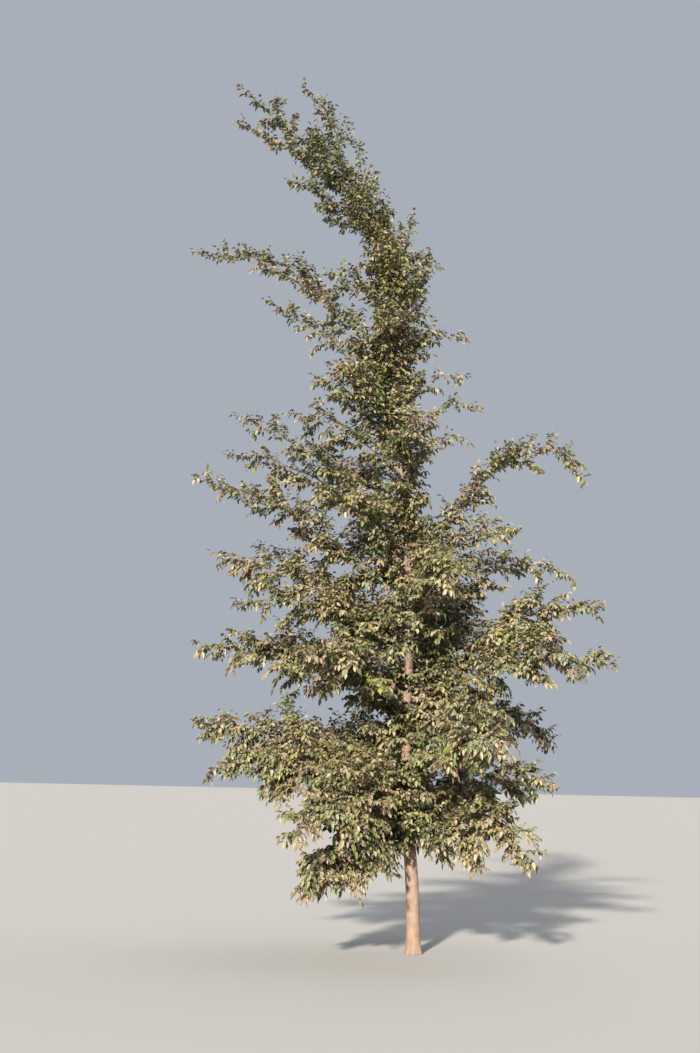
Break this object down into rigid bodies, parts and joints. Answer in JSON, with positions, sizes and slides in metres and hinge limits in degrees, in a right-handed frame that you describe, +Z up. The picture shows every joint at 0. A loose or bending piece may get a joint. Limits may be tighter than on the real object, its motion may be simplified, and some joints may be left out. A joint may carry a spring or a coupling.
{
  "type": "chinese elm tree",
  "caption": "Young Chinese elm rooted in the ground: a slim flared trunk, arching side boughs with drooping sprays of small leaves, and a leader swept to one side by the wind.",
  "frame": {"origin": "the middle of the flat cut under the trunk, at ground level, at the mount ground", "axes": "+Z straight up, +X towards the right-hand side of the crown seen from its front, and the front faces -Y; the leader sweeps towards -X"},
  "size_m": [4.255, 3.3348, 9.21],
  "materials": {
    "bark": "smooth pinkish-tan young bark with grey shade, fine upright streaks and small flaking plates",
    "foliage": "small satin leaves on thin brown twigs, olive to dark green with tan and reddish-brown autumn tints"
  },
  "bodies": {
    "root": {"trunk": "bark", "bough_left_2": "bark", "bough_left_4": "bark", "bough_left_7": "bark", "bough_left_12": "bark", "bough_right_4": "bark", "bough_right_5": "bark", "bough_right_7": "bark", "bough_right_9": "bark", "foliage_left_1": "foliage", "foliage_left_2": "foliage", "foliage_left_3": "foliage", "foliage_left_4": "foliage", "foliage_left_5": "foliage", "foliage_left_6": "foliage", "foliage_left_7": "foliage", "foliage_left_8": "foliage", "foliage_left_9": "foliage", "foliage_left_10": "foliage", "foliage_left_11": "foliage", "foliage_left_12": "foliage", "foliage_left_13": "foliage", "foliage_left_14": "foliage", "foliage_right_1": "foliage", "foliage_right_2": "foliage", "foliage_right_3": "foliage", "foliage_right_4": "foliage", "foliage_right_5": "foliage", "foliage_right_6": "foliage", "foliage_right_7": "foliage", "foliage_right_8": "foliage", "foliage_right_9": "foliage", "foliage_right_10": "foliage", "foliage_right_11": "foliage", "foliage_right_12": "foliage", "foliage_right_13": "foliage", "foliage_right_14": "foliage", "foliage_front_1": "foliage", "foliage_front_2": "foliage", "foliage_front_3": "foliage", "foliage_front_4": "foliage", "foliage_front_5": "foliage", "foliage_front_6": "foliage", "foliage_front_7": "foliage", "foliage_front_8": "foliage", "foliage_back_1": "foliage", "foliage_back_2": "foliage", "foliage_back_3": "foliage", "foliage_back_4": "foliage", "foliage_back_5": "foliage", "foliage_back_6": "foliage", "foliage_back_7": "foliage", "foliage_back_8": "foliage", "foliage_top_1": "foliage", "foliage_top_2": "foliage", "foliage_top_3": "foliage", "foliage_top_4": "foliage", "foliage_top_5": "foliage", "foliage_top_6": "foliage", "foliage_top_7": "foliage"}
  },
  "joints": []
}
